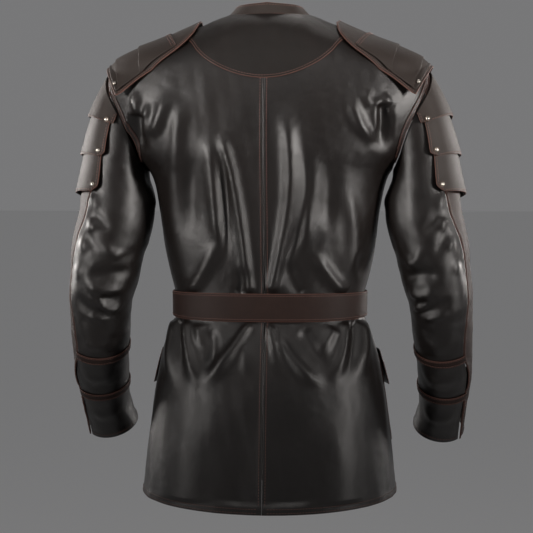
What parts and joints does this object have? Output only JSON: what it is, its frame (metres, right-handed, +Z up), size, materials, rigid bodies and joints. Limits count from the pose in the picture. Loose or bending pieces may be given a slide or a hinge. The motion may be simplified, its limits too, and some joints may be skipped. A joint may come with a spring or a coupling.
{
  "type": "leather warrior coat",
  "caption": "Worn three-quarter leather coat with a U-shaped yoke, plated shoulder pads, shingled arm flaps, strapped cuffs and a belt; hollow, held up by its wearer.",
  "frame": {"origin": "Centre of the neck opening, level with the points where the collar meets the shoulders. The wearer holds the coat up there.", "axes": "+Z is up. The front of the coat faces -Y and its back +Y. The wearer's left side is +X."},
  "size_m": [0.666, 0.3127, 0.8117],
  "materials": {
    "body_leather": "dark brown-black semi-gloss leather with a fine grain and worn highlights",
    "panel_leather": "dark brown matte leather of the yoke, collar, plates and flaps, with brown stitched edges",
    "strap_leather": "reddish brown leather of the belt, sleeve strips and cuff straps",
    "studs": "aged nickel domes",
    "buckle": "aged nickel, a little darker than the domes"
  },
  "bodies": {
    "root": {"back_left": "body_leather", "front_left": "body_leather", "armhole_band_left": "body_leather", "sleeve_left": "body_leather", "sleeve_strip_left": "strap_leather", "cuff_strap_upper_left": "strap_leather", "cuff_strap_lower_left": "strap_leather", "shoulder_base_left": "panel_leather", "shoulder_plate_1_left": "panel_leather", "shoulder_plate_2_left": "panel_leather", "shoulder_plate_3_left": "panel_leather", "arm_flap_1_left": "panel_leather", "arm_flap_2_left": "panel_leather", "arm_flap_3_left": "panel_leather", "back_right": "body_leather", "front_right": "body_leather", "armhole_band_right": "body_leather", "sleeve_right": "body_leather", "sleeve_strip_right": "strap_leather", "cuff_strap_upper_right": "strap_leather", "cuff_strap_lower_right": "strap_leather", "shoulder_base_right": "panel_leather", "shoulder_plate_1_right": "panel_leather", "shoulder_plate_2_right": "panel_leather", "shoulder_plate_3_right": "panel_leather", "arm_flap_1_right": "panel_leather", "arm_flap_2_right": "panel_leather", "arm_flap_3_right": "panel_leather", "pocket_left": "body_leather", "pocket_flap_left": "body_leather", "arm_rivet_1_front_left": "studs", "arm_rivet_2_front_left": "studs", "arm_rivet_3_front_left": "studs", "shoulder_rivet_front_left": "studs", "arm_rivet_1_back_left": "studs", "arm_rivet_2_back_left": "studs", "arm_rivet_3_back_left": "studs", "shoulder_rivet_back_left": "studs", "pocket_right": "body_leather", "pocket_flap_right": "body_leather", "arm_rivet_1_front_right": "studs", "arm_rivet_2_front_right": "studs", "arm_rivet_3_front_right": "studs", "shoulder_rivet_front_right": "studs", "arm_rivet_1_back_right": "studs", "arm_rivet_2_back_right": "studs", "arm_rivet_3_back_right": "studs", "shoulder_rivet_back_right": "studs", "press_stud_1": "studs", "press_stud_2": "studs", "press_stud_3": "studs", "press_stud_4": "studs", "press_stud_5": "studs", "buckle_frame": "buckle", "buckle_prong": "buckle", "yoke": "panel_leather", "collar": "panel_leather", "belt": "strap_leather"}
  },
  "joints": []
}
